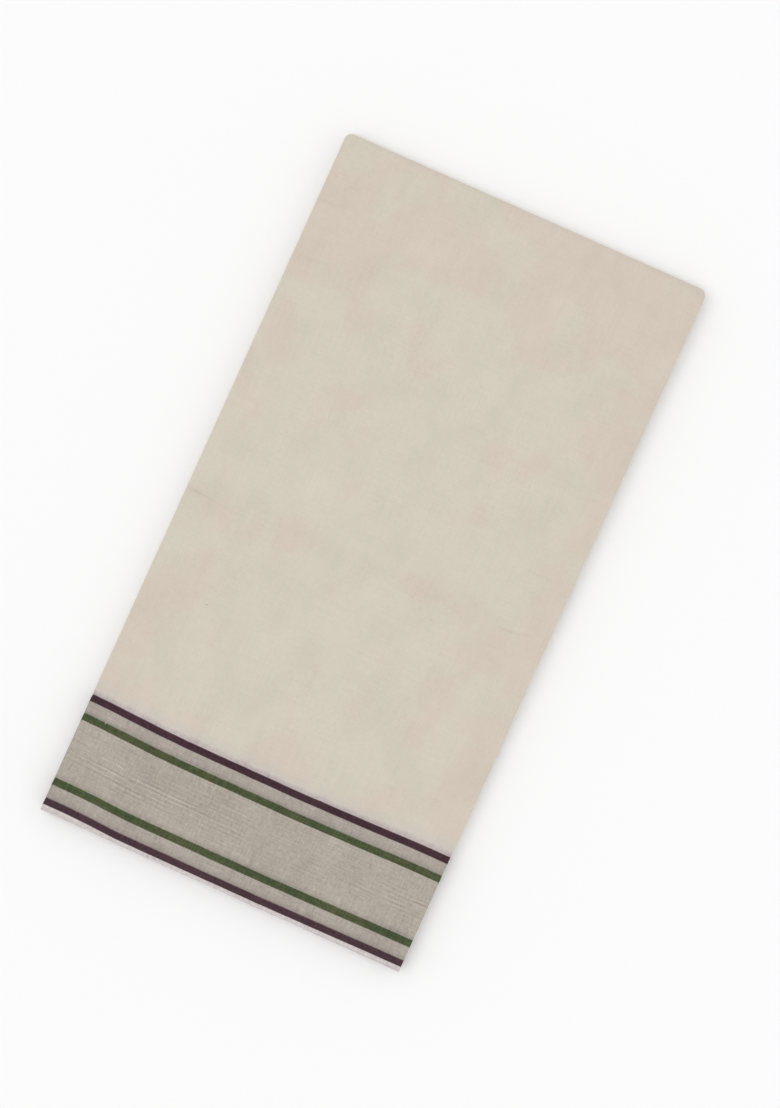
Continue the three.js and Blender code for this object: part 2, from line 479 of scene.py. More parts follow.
@dataclass(frozen=True)
class Pleats:
    """The to and fro of the doubled cloth, with each pleat's setback from an edge in mm."""

    form: FoldedForm
    selvedges: Selvedges = field(default_factory=Selvedges)
    left_setbacks: tuple[float, ...] = (0, 1.4, 0.7, 1.5, 1.0)
    right_setbacks: tuple[float, ...] = (0, 0.6, 1.2, 0.7, 1.4)
    bulge: float = 1.15
    sway: Ripple = Ripple(seed=20, height=0, shortest=50 * MM, longest=240 * MM)
    sway_heights: tuple[float, ...] = (0.06 * MM,) + (0.36 * MM,) * 4
    sway_reach: float = 35 * MM
    sway_whole: float = 2 * MM
    parting: Ripple = Ripple(seed=60, height=0, shortest=60 * MM, longest=200 * MM)
    parting_heights: tuple[float, ...] = (0,) + (0.15,) * 4
    most_parting: float = 0.2

    def loop(self, side: Side, layer: Array) -> Array:
        """Which pleat at an edge each layer is in: four plies to one, after a short start."""
        start = 0 if side is Side.LEFT else 2
        return np.floor((np.asarray(layer) + start) / 4).astype(int)

    def lead(self, at: Places) -> Array:
        """The outermost layer of the pleat that each point belongs to at its nearer edge."""
        left = 4 * self.loop(Side.LEFT, at.layer)
        right = np.maximum(4 * self.loop(Side.RIGHT, at.layer) - 2, 0)
        return np.where(at.x < 0, left, right)

    def turn_start(self, side: Side, layer: int) -> float:
        """Where a ply's straight run ends and its turn starts.

        Args:
            side: the edge that the turn lies at.
            layer: the ply.

        Returns:
            The distance from the panel's middle.
        """
        s = self.form.sizes
        loop = int(self.loop(side, layer))
        backs = self.left_setbacks if side is Side.LEFT else self.right_setbacks
        half_plies = 0.5 if side is Side.RIGHT and loop == 0 else 1.5
        deep = half_plies * s.pitch * self.bulge
        return s.half_width - backs[loop] * MM - s.ply / 2 - deep

    def pleat_wave(
        self, at: Places, side: Side, like: Ripple, heights: Sequence[float]
    ) -> Array:
        """Each pleat's own wave at one edge: its seed moves on from pleat to pleat.

        Args:
            at: points of the cloth.
            side: the edge.
            like: the wave's lengths and its first seed.
            heights: the wave's height for each pleat, outermost first.

        Returns:
            The wave at each point.
        """
        loops = self.loop(side, at.layer)
        total = np.zeros(at.x.shape)
        for loop, height in enumerate(heights):
            seed = like.seed + loop + (10 if side is Side.LEFT else 0)
            wave = replace(like, seed=seed, height=height)
            total = total + (loops == loop) * wave.over(at.way)
        return total

    def strayed(self, at: Places) -> Places:
        """Moves points with their pleats, each of which has waves of its own.

        Its edges sway across, which fades out away from them. It also shifts by a share of
        a layer in the stack, by its left edge's wave eased to its right one's.

        Args:
            at: points of the cloth.

        Returns:
            The points moved.
        """
        half, x, layer = self.form.sizes.half_width, at.x, at.layer
        for side in Side:
            near = smoothstep(side.value * at.x, half - self.sway_reach, half - self.sway_whole)
            share = (1 + side.value * at.x / half) / 2
            shift = self.pleat_wave(at, side, self.parting, self.parting_heights)
            x = x + near * self.pleat_wave(at, side, self.sway, self.sway_heights)
            layer = layer + share * np.clip(shift, -self.most_parting, self.most_parting)
        return Places(x, at.way, layer)

    def sweep(self, section: Section, rows: Array) -> tuple[Array, Array]:
        """Carries a section along the leaf, round the fold and back.

        Args:
            section: the path through the pleats.
            rows: distances from the first selvedge along the cloth.

        Returns:
            The points of the ply's middle, and their places on the flat cloth.
        """
        x, way = np.meshgrid(section.x, rows, indexing="ij")
        flat = Places(x, way, section.layer[:, None])
        setback = self.selvedges.setback(flat, self.form.sizes.cloth_width)
        moved = self.strayed(replace(flat, way=way + setback))
        points = self.form.place(moved, self.lead(flat))
        length = np.broadcast_to(section.length[:, None], x.shape)
        return points, np.stack([length, way], axis=-1)


def grid_quads(grid: Array) -> Array:
    """The quads between neighbours on a grid of vertex numbers, four numbers to a row."""
    corners = [grid[:-1, :-1], grid[1:, :-1], grid[1:, 1:], grid[:-1, 1:]]
    return np.stack(corners, axis=-1).reshape(-1, 4)


def shell_faces(columns: int, rows: int) -> Array:
    """The quads of a closed thin shell on a grid: two faces and the strip round their rim.

    Args:
        columns: grid points in the first direction.
        rows: grid points in the second direction.

    Returns:
        One row of four vertex numbers for each quad, turned to face outwards. The inner
        face's vertices follow the outer one's.
    """
    grid = np.arange(columns * rows).reshape(columns, rows)
    outer = grid_quads(grid)
    inner = outer[:, [0, 3, 2, 1]] + grid.size
    rim = np.concatenate([grid[:-1, 0], grid[-1, :-1], grid[:0:-1, -1], grid[0, :0:-1]])
    onward = np.roll(rim, -1)
    strip = np.stack([rim, rim + grid.size, onward + grid.size, onward], axis=-1)
    return np.concatenate([outer, inner, strip])


def thin_shell(
    name: str, middle: Array, flat: Array, thickness: float, shade: Array
) -> bpy.types.Object:
    """Makes a ply: its middle surface moved half its thickness out and in along its normal.

    Args:
        name: the piece's name.
        middle: the points of the middle surface on a grid.
        flat: each point's place on the flat cloth, kept as a UV map.
        thickness: the cloth's thickness.
        shade: a value for each point, kept as the crease attribute. It is painted shade in crease
            troughs and painted light on crease ridges.

    Returns:
        The piece, linked to the scene.
    """
    normal = np.cross(np.gradient(middle, axis=0), np.gradient(middle, axis=1))
    normal /= np.linalg.norm(normal, axis=-1, keepdims=True)
    points = np.concatenate([middle + normal * thickness / 2, middle - normal * thickness / 2])
    faces = shell_faces(*middle.shape[:2])
    mesh = bpy.data.meshes.new(name)
    mesh.from_pydata(points.reshape(-1, 3).tolist(), [], faces.tolist())
    corner = faces.ravel()
    places = np.concatenate([flat, flat]).reshape(-1, 2)
    mesh.uv_layers.new(name=CLOTH_MAP).data.foreach_set("uv", places[corner].ravel())
    attribute = mesh.attributes.new(PAINTED_CREASE_SHADING, "FLOAT", "POINT")
    attribute.data.foreach_set("value", np.concatenate([shade, shade]).ravel())
    mesh.polygons.foreach_set("use_smooth", np.ones(len(faces), bool))
    mesh.update()
    return add_object(name, mesh)


# Helpers for materials


class Graph:
    """A node tree with short ways to add and link its nodes."""

    def __init__(self, tree: Tree) -> None:
        """Wraps a tree."""
        self.tree = tree

    def feed(self, socket: Socket, value: Any) -> None:
        """Links an output to a socket, or sets a plain value on it."""
        if isinstance(value, bpy.types.NodeSocket):
            self.tree.links.new(value, socket)
        else:
            socket.default_value = value

    def node(
        self, kind: str, inputs: dict[Any, Any] | None = None, **settings: Any
    ) -> bpy.types.Node:
        """Adds a node.

        Args:
            kind: its type.
            inputs: what its inputs are given, by name or number.
            settings: its own properties.

        Returns:
            The node.
        """
        made = self.tree.nodes.new(kind)
        for name, value in settings.items():
            setattr(made, name, value)
        for label, value in (inputs or {}).items():
            self.feed(made.inputs[label], value)
        return made

    def math(self, operation: str, *values: Any) -> Socket:
        """Adds a Math node over the values and returns its output."""
        return self.node("ShaderNodeMath", dict(enumerate(values)), operation=operation).outputs[0]

    def plus(self, total: Any, *others: Any) -> Any:
        """Adds values up, one node after another."""
        for other in others:
            total = self.math("ADD", total, other)
        return total

    def times(self, product: Any, *others: Any) -> Any:
        """Multiplies values, one node after another."""
        for other in others:
            product = self.math("MULTIPLY", product, other)
        return product

    def scaled(self, value: Any, factor: Any, extra: Any) -> Socket:
        """Returns the value times a factor, with an extra added."""
        return self.math("MULTIPLY_ADD", value, factor, extra)

    def vector(self, operation: str, *values: Any, output: str = "Vector") -> Socket:
        """Adds a Vector Math node over the values and returns the output of that name."""
        made = self.node("ShaderNodeVectorMath", dict(enumerate(values)), operation=operation)
        return made.outputs[output]

    def span(self, value: Any, low: float, high: float) -> Socket:
        """Returns 0 below low, 1 above high and a smooth rise between. High may be the lower."""
        inputs = {"Value": value, "From Min": low, "From Max": high}
        made = self.node("ShaderNodeMapRange", inputs, interpolation_type="SMOOTHSTEP")
        return made.outputs["Result"]

    def mix(self, share: Any, first: Any, second: Any, blend: str = "MIX") -> Socket:
        """Mixes two colours by a share and returns the result."""
        inputs = {0: share, 6: first, 7: second}
        return self.node("ShaderNodeMix", inputs, data_type="RGBA", blend_type=blend).outputs[2]

    def noise(
        self, place: Any, grains: tuple[float, float], detail: float = 2.0, roughness: float = 0.5
    ) -> Socket:
        """Adds a noise.

        Args:
            place: where on the cloth to read it.
            grains: how many grains it has in a metre along the cloth and across it.
            detail: how many finer noises lie on top.
            roughness: how strong they are.

        Returns:
            Its value, from 0 to 1.
        """
        scaled = self.vector("MULTIPLY", place, (*grains, 1))
        inputs = {"Vector": scaled, "Scale": 1.0, "Detail": detail, "Roughness": roughness}
        return self.node("ShaderNodeTexNoise", inputs, noise_dimensions="3D").outputs["Fac"]


class GroupGraph(Graph):
    """A shader node group in the making."""

    def __init__(self, name: str, inputs: dict[str, str]) -> None:
        """Starts the group of that name, with the kind of each input by its name."""
        super().__init__(bpy.data.node_groups.new(name, "ShaderNodeTree"))
        for label, kind in inputs.items():
            self.add_socket(label, "INPUT", kind)
        self.given = self.node("NodeGroupInput").outputs

    def add_socket(self, label: str, way: str, kind: str) -> None:
        """Adds an input or an output of a kind to the group."""
        socket = f"NodeSocket{kind}"
        self.tree.interface.new_socket(name=label, in_out=way, socket_type=socket)

    def finish(self, **results: Socket) -> Tree:
        """Adds an output for each result.

        Args:
            results: the values by their outputs' names. Color is a colour.

        Returns:
            The group's tree.
        """
        for label in results:
            self.add_socket(label, "OUTPUT", "Color" if label == "Color" else "Float")
        self.node("NodeGroupOutput", results)
        return self.tree


def linear(shown: Color) -> tuple[float, float, float, float]:
    """Turns a colour as a screen shows it, out of 255, into light: the sRGB curve undone.

    Args:
        shown: red, green and blue.

    Returns:
        The colour in light, with an alpha of 1.
    """
    share = np.array(shown) / 255
    light = np.where(share <= 0.04045, share / 12.92, ((share + 0.055) / 1.055) ** 2.4)
    return (*light.tolist(), 1.0)


# The border


@dataclass(frozen=True)
class Stripe:
    """A stripe woven along the selvedge, by its distances from it in mm and its colour."""

    start: float
    end: float
    color: Color


GREEN = (68, 79, 49)
PLAIN_GAP = (169, 160, 151)
STRIPES = {
    "selvedge": Stripe(0, 3.3, (205, 196, 194)),
    "outer_aubergine": Stripe(3.3, 8.8, (67, 45, 52)),
    "outer_gap": Stripe(8.8, 19.6, PLAIN_GAP),
    "outer_green": Stripe(19.6, 25.6, GREEN),
    "ground": Stripe(25.6, 74.1, (173, 164, 153)),
    "inner_green": Stripe(74.1, 80.0, GREEN),
    "inner_gap": Stripe(80.0, 89.8, PLAIN_GAP),
    "inner_aubergine": Stripe(89.8, 95.5, (61, 37, 45)),
    "pale_strip": Stripe(95.5, 97.2, (185, 174, 173)),
}
BORDER_END = STRIPES["pale_strip"].end
BORDER_WIDTH = BORDER_END * MM


class BorderGraph(GroupGraph):
    """The border as a node group over the distance from the nearest selvedge, all in mm."""

    reach: float = 112.0
    field_edge: Color = (203, 196, 185)
    field_rise: float = 2.8
    thread_blur: float = 0.3
    stripe_edge_reach: float = 5.0
    ground_rim: float = 2.0

    def __init__(self) -> None:
        """Starts the group with its one input."""
        super().__init__("border_stripes", {"Distance mm": "Float"})
        self.distance = self.given["Distance mm"]

    def colors(self) -> Socket:
        """Adds the ramp of the stripes' colours, with a thread's blur between two.

        Returns:
            The colour.
        """
        blur = self.thread_blur / 2
        places = []
        for stripe in STRIPES.values():
            places += [(stripe.start + blur, stripe.color), (stripe.end - blur, stripe.color)]
        places.append((BORDER_END + self.field_rise, self.field_edge))
        ramp = self.node("ShaderNodeValToRGB", {0: self.math("DIVIDE", self.distance, self.reach)})
        stops = ramp.color_ramp.elements
        stops.remove(stops[1])
        stops[0].color = linear(places[0][1])
        for place, color in places[1:]:
            stops.new(place / self.reach).color = linear(color)
        return ramp.outputs["Color"]

    def on(self, *names: str) -> Socket:
        """Adds a mask over some of the stripes.

        Args:
            names: the stripes.

        Returns:
            The mask, 1 on them and 0 elsewhere.
        """
        total: Any = 0.0
        for stripe in (STRIPES[name] for name in names):
            middle, reach = (stripe.start + stripe.end) / 2, (stripe.end - stripe.start) / 2
            total = self.plus(total, self.math("COMPARE", self.distance, middle, reach))
        return total

    def build(self) -> Tree:
        """Makes the group.

        Returns:
            Its tree. The stripe-edge output is 1 just past the inner edge of three stripes, fading
            to 0 a few millimetres on, where the cloth is darker.
        """
        distance, ground = self.distance, STRIPES["ground"]
        rises = self.span(distance, ground.start, ground.start + self.ground_rim)
        falls = self.span(distance, ground.end, ground.end - self.ground_rim)
        green = self.on("outer_green", "inner_green")
        stripe_edge: Any = 0.0
        # A darker band just past the inner edge of the outer aubergine and both greens.
        for name in ("outer_aubergine", "outer_green", "inner_green"):
            edge = STRIPES[name].end
            past = self.math("GREATER_THAN", distance, edge)
            stripe_edge = self.scaled(past, self.span(distance, edge + self.stripe_edge_reach, edge), stripe_edge)
        return self.finish(
            Color=self.colors(),
            Ground=self.times(rises, falls),
            Field=self.span(distance, BORDER_END, self.reach),
            Green=green,
            Dark=self.plus(green, self.on("outer_aubergine", "inner_aubergine")),
            Bleed=stripe_edge,
        )


# Yarn effects


def build_weave_group() -> Tree:
    """Makes the plain weave: yarns that stray a little and rise in turn, two sines multiplied.

    Returns:
        The group's tree.
    """
    graph = GroupGraph("plain_weave", {"Cloth": "Vector", "Pitch mm": "Float"})
    cloth = graph.given["Cloth"]
    length, way, _ = graph.node("ShaderNodeSeparateXYZ", {0: cloth}).outputs
    pitch = graph.times(graph.given["Pitch mm"], 2 * MM)
    waves = []
    for axis, grains in ((length, (260, 24)), (way, (24, 260))):
        strayed = graph.scaled(graph.noise(cloth, grains, 1.0), 2 * MM, axis)
        turns = graph.times(graph.math("DIVIDE", strayed, pitch), 2 * math.pi)
        waves.append(graph.math("SINE", turns))
    return graph.finish(Height=graph.scaled(graph.times(*waves), 0.5, 0.5))


def build_yarn_group() -> Tree:
    """Makes uneven handspun yarn: thin streaks of noise, long in the warp and in the weft.

    Returns:
        The group's tree.
    """
    graph = GroupGraph("uneven_yarn", {"Cloth": "Vector"})
    cloth = graph.given["Cloth"]
    short = graph.plus(graph.noise(cloth, (190, 1050)), graph.noise(cloth, (950, 210)))
    thick = [graph.noise(cloth, grains, 1.0) for grains in ((220, 700), (650, 200))]
    slubs = graph.span(graph.math("MAXIMUM", *thick), 0.56, 0.76)
    patches = graph.span(graph.noise(cloth, (16, 14)), 0.45, 0.65)
    return graph.finish(
        Warp=graph.noise(cloth, (24, 1100), 3.0),
        Weft=graph.noise(cloth, (1000, 20), 3.0),
        Grain=graph.times(short, 0.5),
        Slubs=graph.times(slubs, patches),
    )


def build_mottle_group() -> Tree:
    """Makes soft clouds of tint and tone in the undyed cotton, some centimetres across.

    Returns:
        The group's tree.
    """
    graph = GroupGraph("soft_mottle", {"Cloth": "Vector"})
    cloth = graph.given["Cloth"]
    tint, tone = graph.noise(cloth, (20, 17), 3.0), graph.noise(cloth, (30, 24), 4.0, 0.64)
    return graph.finish(Tint=tint, Tone=tone)


def build_mark_group() -> Tree:
    """Makes a soft oval on the cloth: 1 at its middle, fading to 0 at its rim.

    Returns:
        The group's tree.
    """
    inputs = dict.fromkeys(("Cloth", "Middle", "Reach"), "Vector")
    graph = GroupGraph("thread_mark", inputs)
    away = graph.vector("SUBTRACT", graph.given["Cloth"], graph.given["Middle"])
    share = graph.vector("DIVIDE", away, graph.given["Reach"])
    return graph.finish(Mask=graph.span(graph.vector("LENGTH", share, output="Value"), 1.0, 0.3))


# The cotton


@dataclass(frozen=True)
class Oval:
    """A place on the top ply in mm: its middle from the left edge and the selvedge, its reach."""

    across: float
    up: float
    half_length: float
    half_width: float


@dataclass(frozen=True)
class Mark:
    """A knot or slub of another colour."""

    oval: Oval
    color: Color
    strength: float


@dataclass(frozen=True)
class CottonFinish:
    """Undyed handloom cotton with a woven border: its colours, yarn and softness.

    Clouds, grain, warp and weft each have a strength in the field, and what the border adds.
    A pale streak is a place from the top ply's left edge, and a strength. Lengths are in
    millimetres, except where MM turns them into metres.
    """

    name: str
    marks: tuple[Mark, ...] = ()
    pale_streaks: tuple[tuple[float, float], ...] = ()
    rib_patches: tuple[Oval, ...] = ()
    pink_cream: Color = (210, 198, 184)
    green_cream: Color = (209, 202, 186)
    faded_green: Color = (82, 77, 50)
    tint_turn: tuple[float, float] = (0.48, 0.62)
    brown_turn: tuple[float, float] = (0.45, 0.75)
    brown_share: float = 0.5
    # A pool over the top ply's middle: its green tint is the cotton's, its slight paleness is
    # painted light.
    green_tint_and_lit_pool: Oval = Oval(150, 320, 200, 310)
    pool_tint: float = 0.16
    pool_painted_light: float = 0.012
    pink_patch: Oval = Oval(140, 545, 320, 60)
    patch_tint: float = -0.1
    clouds: tuple[float, float] = (0.085, 0.14)
    grain: tuple[float, float] = (0.09, 0.42)
    warp: tuple[float, float] = (0.05, 0.14)
    weft: tuple[float, float] = (0.05, 0.12)
    dark_extra: float = 1.5
    stripe_edge_tone: float = -0.2
    # Painted shade in crease troughs and painted light on their ridges: brightness per unit of the
    # crease attribute.
    crease_painted_light_and_shade: float = -0.04
    slub_tone: float = -0.045
    # Painted light on the weave's raised crossings and painted shade between them, as a share of
    # brightness.
    weave_painted_light_and_shade: float = 0.03
    weave_pitch: float = 0.36
    weave_rise: float = 0.35
    yarn_rise: float = 0.5
    relief: float = 0.5
    relief_depth: float = 0.1 * MM
    rib_pitch: float = 3.3
    rib_start: float = 1.15
    rib_stray: float = 3.0
    rib_share: float = 0.7
    rib_depth: float = 0.13
    rib_middle: float = 1.3
    rib_least: float = 0.6
    rib_rise: tuple[float, float] = (34, 46)
    rib_fall: tuple[float, float] = (68, 52)
    streak_line: tuple[float, float] = (0.7 * MM, 0.1 * MM)
    streak_end: float = 6.0
    wander: float = 0.5
    ragged_edge: float = 1.8
    coarse_edge: tuple[float, float] = (3.0, -1.0)
    roughness: float = 0.92
    sheen: float = 0.12
    sheen_roughness: float = 0.6
    specular: float = 0.25


class CottonMaterial(Graph):
    """A cotton's material, with its places on the cloth and the shared groups at hand."""

    def __init__(
        self, finish: CottonFinish, groups: dict[str, Tree], width: float, top_start: float
    ) -> None:
        """Makes the material.

        Args:
            finish: its values.
            groups: the shared node groups by name.
            width: the cloth's width from selvedge to selvedge.
            top_start: the length along the cloth at the top ply's left edge.
        """
        self.material = bpy.data.materials.new(finish.name)
        self.material.use_nodes = True
        super().__init__(self.material.node_tree)
        self.finish, self.groups, self.top_start = finish, groups, top_start
        self.cloth = self.node("ShaderNodeUVMap", uv_map=CLOTH_MAP).outputs[0]
        self.length, self.way, _ = self.node("ShaderNodeSeparateXYZ", {0: self.cloth}).outputs
        self.distance = self.selvedge_distance(width)
        self.border = self.place("border", {"Distance mm": self.distance})
        self.mottle = self.place("mottle", {"Cloth": self.cloth})
        self.yarn = self.place("yarn", {"Cloth": self.cloth})
        weave = self.place("weave", {"Cloth": self.cloth, "Pitch mm": finish.weave_pitch})
        self.weave = weave["Height"]
        # Mask of the pool: the cotton's green tint, and painted light.
        self.pool = self.spot(finish.green_tint_and_lit_pool)
        in_border = self.span(self.distance, *(BORDER_END + past for past in finish.coarse_edge))
        self.coarse = self.scaled(self.border["Dark"], finish.dark_extra, in_border)
        self.dress()

    def place(self, name: str, inputs: dict[str, Any]) -> Any:
        """Places one of the shared groups and returns its outputs."""
        return self.node("ShaderNodeGroup", inputs, node_tree=self.groups[name]).outputs

    def spot(self, oval: Oval) -> Socket:
        """Returns a mask that is 1 in an oval's middle and 0 past its rim."""
        middle = (self.top_start + oval.across * MM, oval.up * MM, 0)
        reach = (oval.half_length * MM, oval.half_width * MM, 1)
        return self.place("mark", {"Cloth": self.cloth, "Middle": middle, "Reach": reach})["Mask"]

    def uneven(self, value: Socket, strength: tuple[float, float]) -> Socket:
        """Turns a value about a half into a brightness about 1, rougher in the border."""
        at_place = self.scaled(self.coarse, strength[1], strength[0])
        return self.scaled(self.scaled(value, 2.0, -1.0), at_place, 1.0)

    def selvedge_distance(self, width: float) -> Socket:
        """Measures how far the nearest selvedge is, with a thread's wander.

        Args:
            width: the cloth's width.

        Returns:
            The distance in millimetres. Past the pale strip's start it is ragged.
        """
        nearest = self.math("MINIMUM", self.way, self.math("SUBTRACT", width, self.way))
        stray, rag = self.finish.wander, self.finish.ragged_edge
        wander = self.scaled(self.noise(self.cloth, (60, 6), 3.0), stray, -stray / 2)
        in_mm = self.plus(self.times(nearest, 1 / MM), wander)
        past = self.math("SUBTRACT", in_mm, STRIPES["pale_strip"].start)
        ragged = self.scaled(self.noise(self.cloth, (90, 25), 3.0), rag, -rag / 2)
        return self.scaled(self.math("MAXIMUM", past, 0.0), ragged, in_mm)

    def dye(self) -> Socket:
        """Colours the cloth: pink and green cream in clouds, and the border's stripes.

        Returns:
            The colour. The greens have browner patches.
        """
        finish, border = self.finish, self.border
        bias = self.scaled(self.pool, finish.pool_tint, self.mottle["Tint"])
        bias = self.scaled(self.spot(finish.pink_patch), finish.patch_tint, bias)
        tint = self.span(bias, *finish.tint_turn)
        cream = self.mix(tint, linear(finish.pink_cream), linear(finish.green_cream))
        faded = self.times(border["Green"], self.noise(self.cloth, (30, 30)))
        brown = self.times(self.span(faded, *finish.brown_turn), finish.brown_share)
        stripes = self.mix(brown, border["Color"], linear(finish.faded_green))
        return self.mix(border["Field"], stripes, cream)

    def ribs(self) -> Socket:
        """Shades the faint ribs of thicker warp in the border's ground: a sine across them.

        Returns:
            The brightness, about 1. It changes more in some patches and in the middle.
        """
        cloth, distance, finish = self.cloth, self.distance, self.finish
        started = self.plus(distance, finish.rib_start)
        stray = self.scaled(self.noise(cloth, (20, 60)), finish.rib_stray, started)
        wave = self.math("SINE", self.times(stray, 2 * math.pi / finish.rib_pitch))
        patches = self.span(self.noise(cloth, (14, 26)), 0.4, 0.6)
        patches = self.times(patches, finish.rib_share)
        for oval in finish.rib_patches:
            patches = self.math("MAXIMUM", patches, self.spot(oval))
        each = self.span(self.noise(cloth, (45, 320), 1.0), 0.3, 0.7)
        rise, fall = self.span(distance, *finish.rib_rise), self.span(distance, *finish.rib_fall)
        depth = self.scaled(self.times(rise, fall), finish.rib_middle, finish.rib_least)
        depth = self.times(each, finish.rib_depth, depth)
        return self.scaled(wave, self.times(patches, depth, self.border["Ground"]), 1.0)

    def drawn(self) -> Socket:
        """Lights pale streaks that cross the border: thin broken lines at set lengths.

        Returns:
            The brightness that they add.
        """
        total: Any = 0.0
        for across, strength in self.finish.pale_streaks:
            off = self.math("SUBTRACT", self.length, self.top_start + across * MM)
            line = self.span(self.math("ABSOLUTE", off), *self.finish.streak_line)
            total = self.plus(total, self.times(line, strength))
        broken = self.span(self.noise(self.cloth, (40, 55)), 0.35, 0.6)
        inside = self.span(self.distance, BORDER_END, BORDER_END - self.finish.streak_end)
        return self.times(total, broken, inside)

    def brightness(self) -> Socket:
        """Shades the cloth by its yarn, weave, ribs, pale streaks, creases and slubs. The
        creases' and the weave's shares are painted light and shade.

        Returns:
            The brightness, about 1. The pool in the field is a little paler: painted light.
        """
        finish, yarn = self.finish, self.yarn
        tone = self.times(
            self.uneven(self.mottle["Tone"], finish.clouds),
            self.scaled(self.border["Bleed"], finish.stripe_edge_tone, 1.0),
            self.uneven(yarn["Grain"], finish.grain),
            self.uneven(yarn["Warp"], finish.warp),
            self.uneven(yarn["Weft"], finish.weft),
            # Painted light and shade that follow the weave's height.
            self.scaled(self.weave, 2 * finish.weave_painted_light_and_shade, 1 - finish.weave_painted_light_and_shade),
            self.ribs(),
        )
        # Painted crease shading: darker in the troughs, lighter on the ridges.
        crease = self.node("ShaderNodeAttribute", attribute_name=PAINTED_CREASE_SHADING).outputs["Fac"]
        tone = self.plus(
            tone,
            self.drawn(),
            self.times(crease, finish.crease_painted_light_and_shade),
            self.times(yarn["Slubs"], finish.slub_tone),
        )
        # Painted light: the pool is a little brighter than the rest.
        return self.scaled(self.pool, finish.pool_painted_light, tone)

    def dress(self) -> None:
        """Feeds the shader: the shaded dye with its knots, the softness and the yarn's relief."""
        finish, yarn, tone = self.finish, self.yarn, self.brightness()
        shade = self.node("ShaderNodeCombineColor", {0: tone, 1: tone, 2: tone}).outputs[0]
        color = self.mix(1.0, self.dye(), shade, "MULTIPLY")
        lift = self.times(yarn["Slubs"], finish.yarn_rise)
        for mark in finish.marks:
            spot = self.spot(mark.oval)
            color = self.mix(self.times(spot, mark.strength), color, linear(mark.color))
            lift = self.plus(lift, spot)
        height = self.plus(
            self.times(self.weave, finish.weave_rise),
            self.times(yarn["Warp"], finish.yarn_rise),
            self.times(yarn["Weft"], finish.yarn_rise),
            lift,
        )
        relief = {"Strength": finish.relief, "Distance": finish.relief_depth, "Height": height}
        surface = {
            "Base Color": color,
            "Roughness": finish.roughness,
            "Sheen Weight": finish.sheen,
            "Sheen Roughness": finish.sheen_roughness,
            "Specular IOR Level": finish.specular,
            "Normal": self.node("ShaderNodeBump", relief).outputs["Normal"],
        }
        shader = self.tree.nodes["Principled BSDF"]
        for label, value in surface.items():
            self.feed(shader.inputs[label], value)


TOP_COTTON = CottonFinish(
    "outer_cotton",
    marks=(
        Mark(Oval(51.8, 197.9, 1.0, 0.7), (150, 138, 122), 0.7),
        Mark(Oval(17.7, 87.1, 0.6, 1.6), (214, 208, 202), 0.5),
        Mark(Oval(18.4, 79.8, 0.5, 1.8), (214, 208, 202), 0.5),
    ),
    pale_streaks=(
        (20.5, 0.1), (23.3, 0.07), (113.5, 0.07), (116.3, 0.13), (119.5, 0.09),
        (215.0, 0.09), (217.5, 0.12), (276.0, 0.09), (279.5, 0.1),
    ),
    rib_patches=(Oval(68, 45, 75, 20),),
)


# The pieces


@dataclass(frozen=True)
class RowPlan:
    """How many rows a piece has along the top, round the fold and underneath.

    A band of rows over pressed creases is a distance from the first selvedge, a half width,
    both in millimetres, and a count. The rim is how near its selvedge the second row lies.
    """

    leaf: int
    turn: int
    under: int
    bands: tuple[tuple[float, float, int], ...]
    rim: float = 0.12 * MM

    def places(self, sizes: Sizes) -> Array:
        """Places the rows, crowded at both selvedges, towards the fold and in the bands.

        Args:
            sizes: the folded sizes.

        Returns:
            Their distances from the first selvedge, in order.
        """
        fold_end = sizes.leaf_run + sizes.turn_run
        runs = [
            [0.0],
            eased(self.rim, sizes.leaf_run, self.leaf),
            np.linspace(sizes.leaf_run, fold_end, self.turn),
            eased(fold_end, sizes.cloth_width - self.rim, self.under),
            [sizes.cloth_width],
        ]
        rows = np.concatenate(runs)
        for way, reach, count in self.bands:
            low, high = way * MM - reach * MM, way * MM + reach * MM
            away = np.abs(rows - way * MM) > reach * MM
            rows = np.concatenate([rows[away], np.linspace(low, high, count)])
        return np.unique(rows.round(9))


